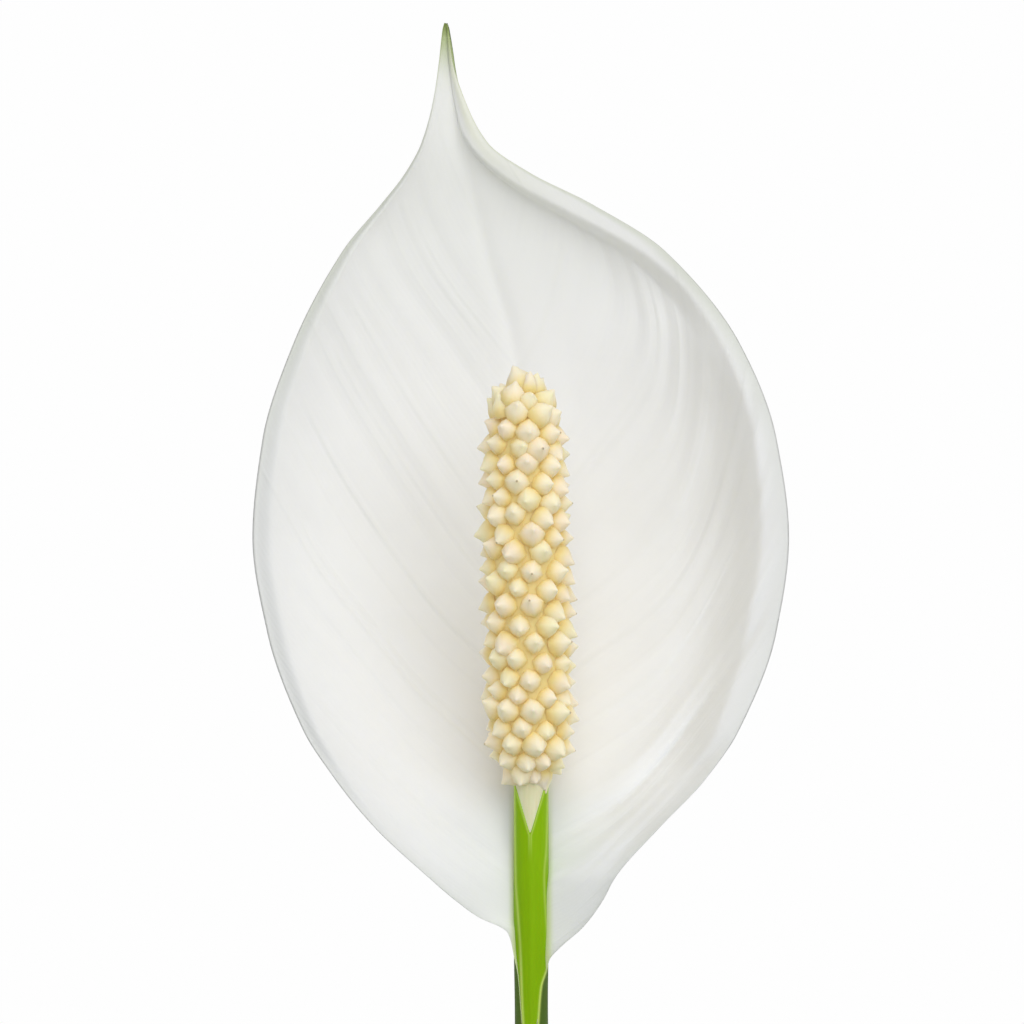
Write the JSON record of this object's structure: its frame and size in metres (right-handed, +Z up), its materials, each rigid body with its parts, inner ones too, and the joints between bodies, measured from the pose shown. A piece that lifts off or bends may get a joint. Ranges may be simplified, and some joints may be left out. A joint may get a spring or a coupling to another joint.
{
  "type": "potted peace lily",
  "caption": "Peace lily in a plain clay pot: long-stalked leaves arch from a crown round an upright flower stalk with a white spathe and a cream spadix.",
  "frame": {"origin": "centre of the pot's flat underside", "axes": "+Z up, -Y the way the bloom faces, +X to the right of someone who looks at the bloom's front"},
  "size_m": [0.5, 0.4882, 0.6001],
  "materials": {
    "clay": "matte",
    "mix": "matte",
    "crown": "matte",
    "leaf": "satin",
    "stalk": "satin",
    "spathe": "satin",
    "spadix": "matte"
  },
  "bodies": {
    "root": {"pot": "clay", "potting_mix": "mix", "crown": "crown", "leaf_01": "leaf", "leaf_02": "leaf", "leaf_03": "leaf", "leaf_04": "leaf", "leaf_05": "leaf", "leaf_06": "leaf", "leaf_07": "leaf", "leaf_08": "leaf", "leaf_09": "leaf", "leaf_10": "leaf", "leaf_11": "leaf", "leaf_12": "leaf", "leaf_13": "leaf", "leaf_14": "leaf", "leaf_15": "leaf", "leaf_16": "leaf", "leaf_17": "leaf", "leaf_18": "leaf", "flower_stalk": "stalk", "spathe": "spathe", "spadix": "spadix"}
  },
  "joints": []
}
